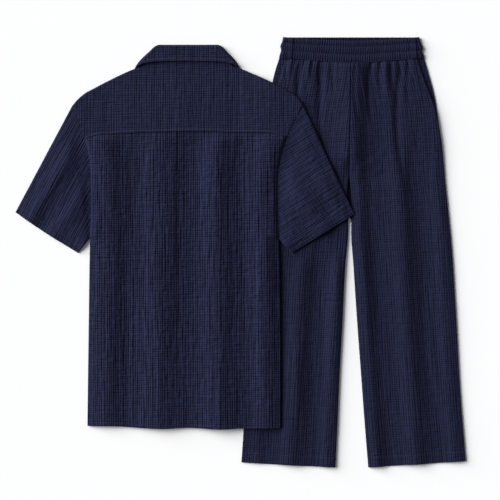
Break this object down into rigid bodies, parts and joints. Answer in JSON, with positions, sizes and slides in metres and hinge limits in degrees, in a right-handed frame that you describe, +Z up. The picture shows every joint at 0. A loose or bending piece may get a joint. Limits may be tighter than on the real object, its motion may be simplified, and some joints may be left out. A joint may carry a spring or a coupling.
{
  "type": "shirt and trousers set",
  "caption": "Short-sleeved crinkled shirt and wide elastic-waist trousers laid flat, back side up, with the shirt lying partly over the trousers.",
  "frame": {"origin": "centre of the laid-out set, on the surface it lies on", "axes": "+Z up from the surface, +Y towards the collar and the waistband, +X from the shirt towards the trousers"},
  "size_m": [1.008, 0.9624, 0.0154],
  "materials": {
    "navy_cloth": "matte crinkled cotton",
    "button_navy": "satin"
  },
  "bodies": {
    "root": {"shirt_back": "navy_cloth", "shirt_yoke": "navy_cloth", "shirt_front_left": "navy_cloth", "shirt_front_right": "navy_cloth", "collar_fall": "navy_cloth", "collar_stand": "navy_cloth", "collar_leaf_left": "navy_cloth", "collar_leaf_right": "navy_cloth", "sleeve_left": "navy_cloth", "sleeve_right": "navy_cloth", "trouser_back_left": "navy_cloth", "trouser_back_right": "navy_cloth", "trouser_front_left": "navy_cloth", "trouser_front_right": "navy_cloth", "waistband_back": "navy_cloth", "waistband_front": "navy_cloth", "belt_loop_left": "navy_cloth", "belt_loop_right": "navy_cloth", "pocket_left": "navy_cloth", "pocket_right": "navy_cloth", "button_1": "button_navy", "button_2": "button_navy", "button_3": "button_navy", "button_4": "button_navy", "button_5": "button_navy"}
  },
  "joints": []
}
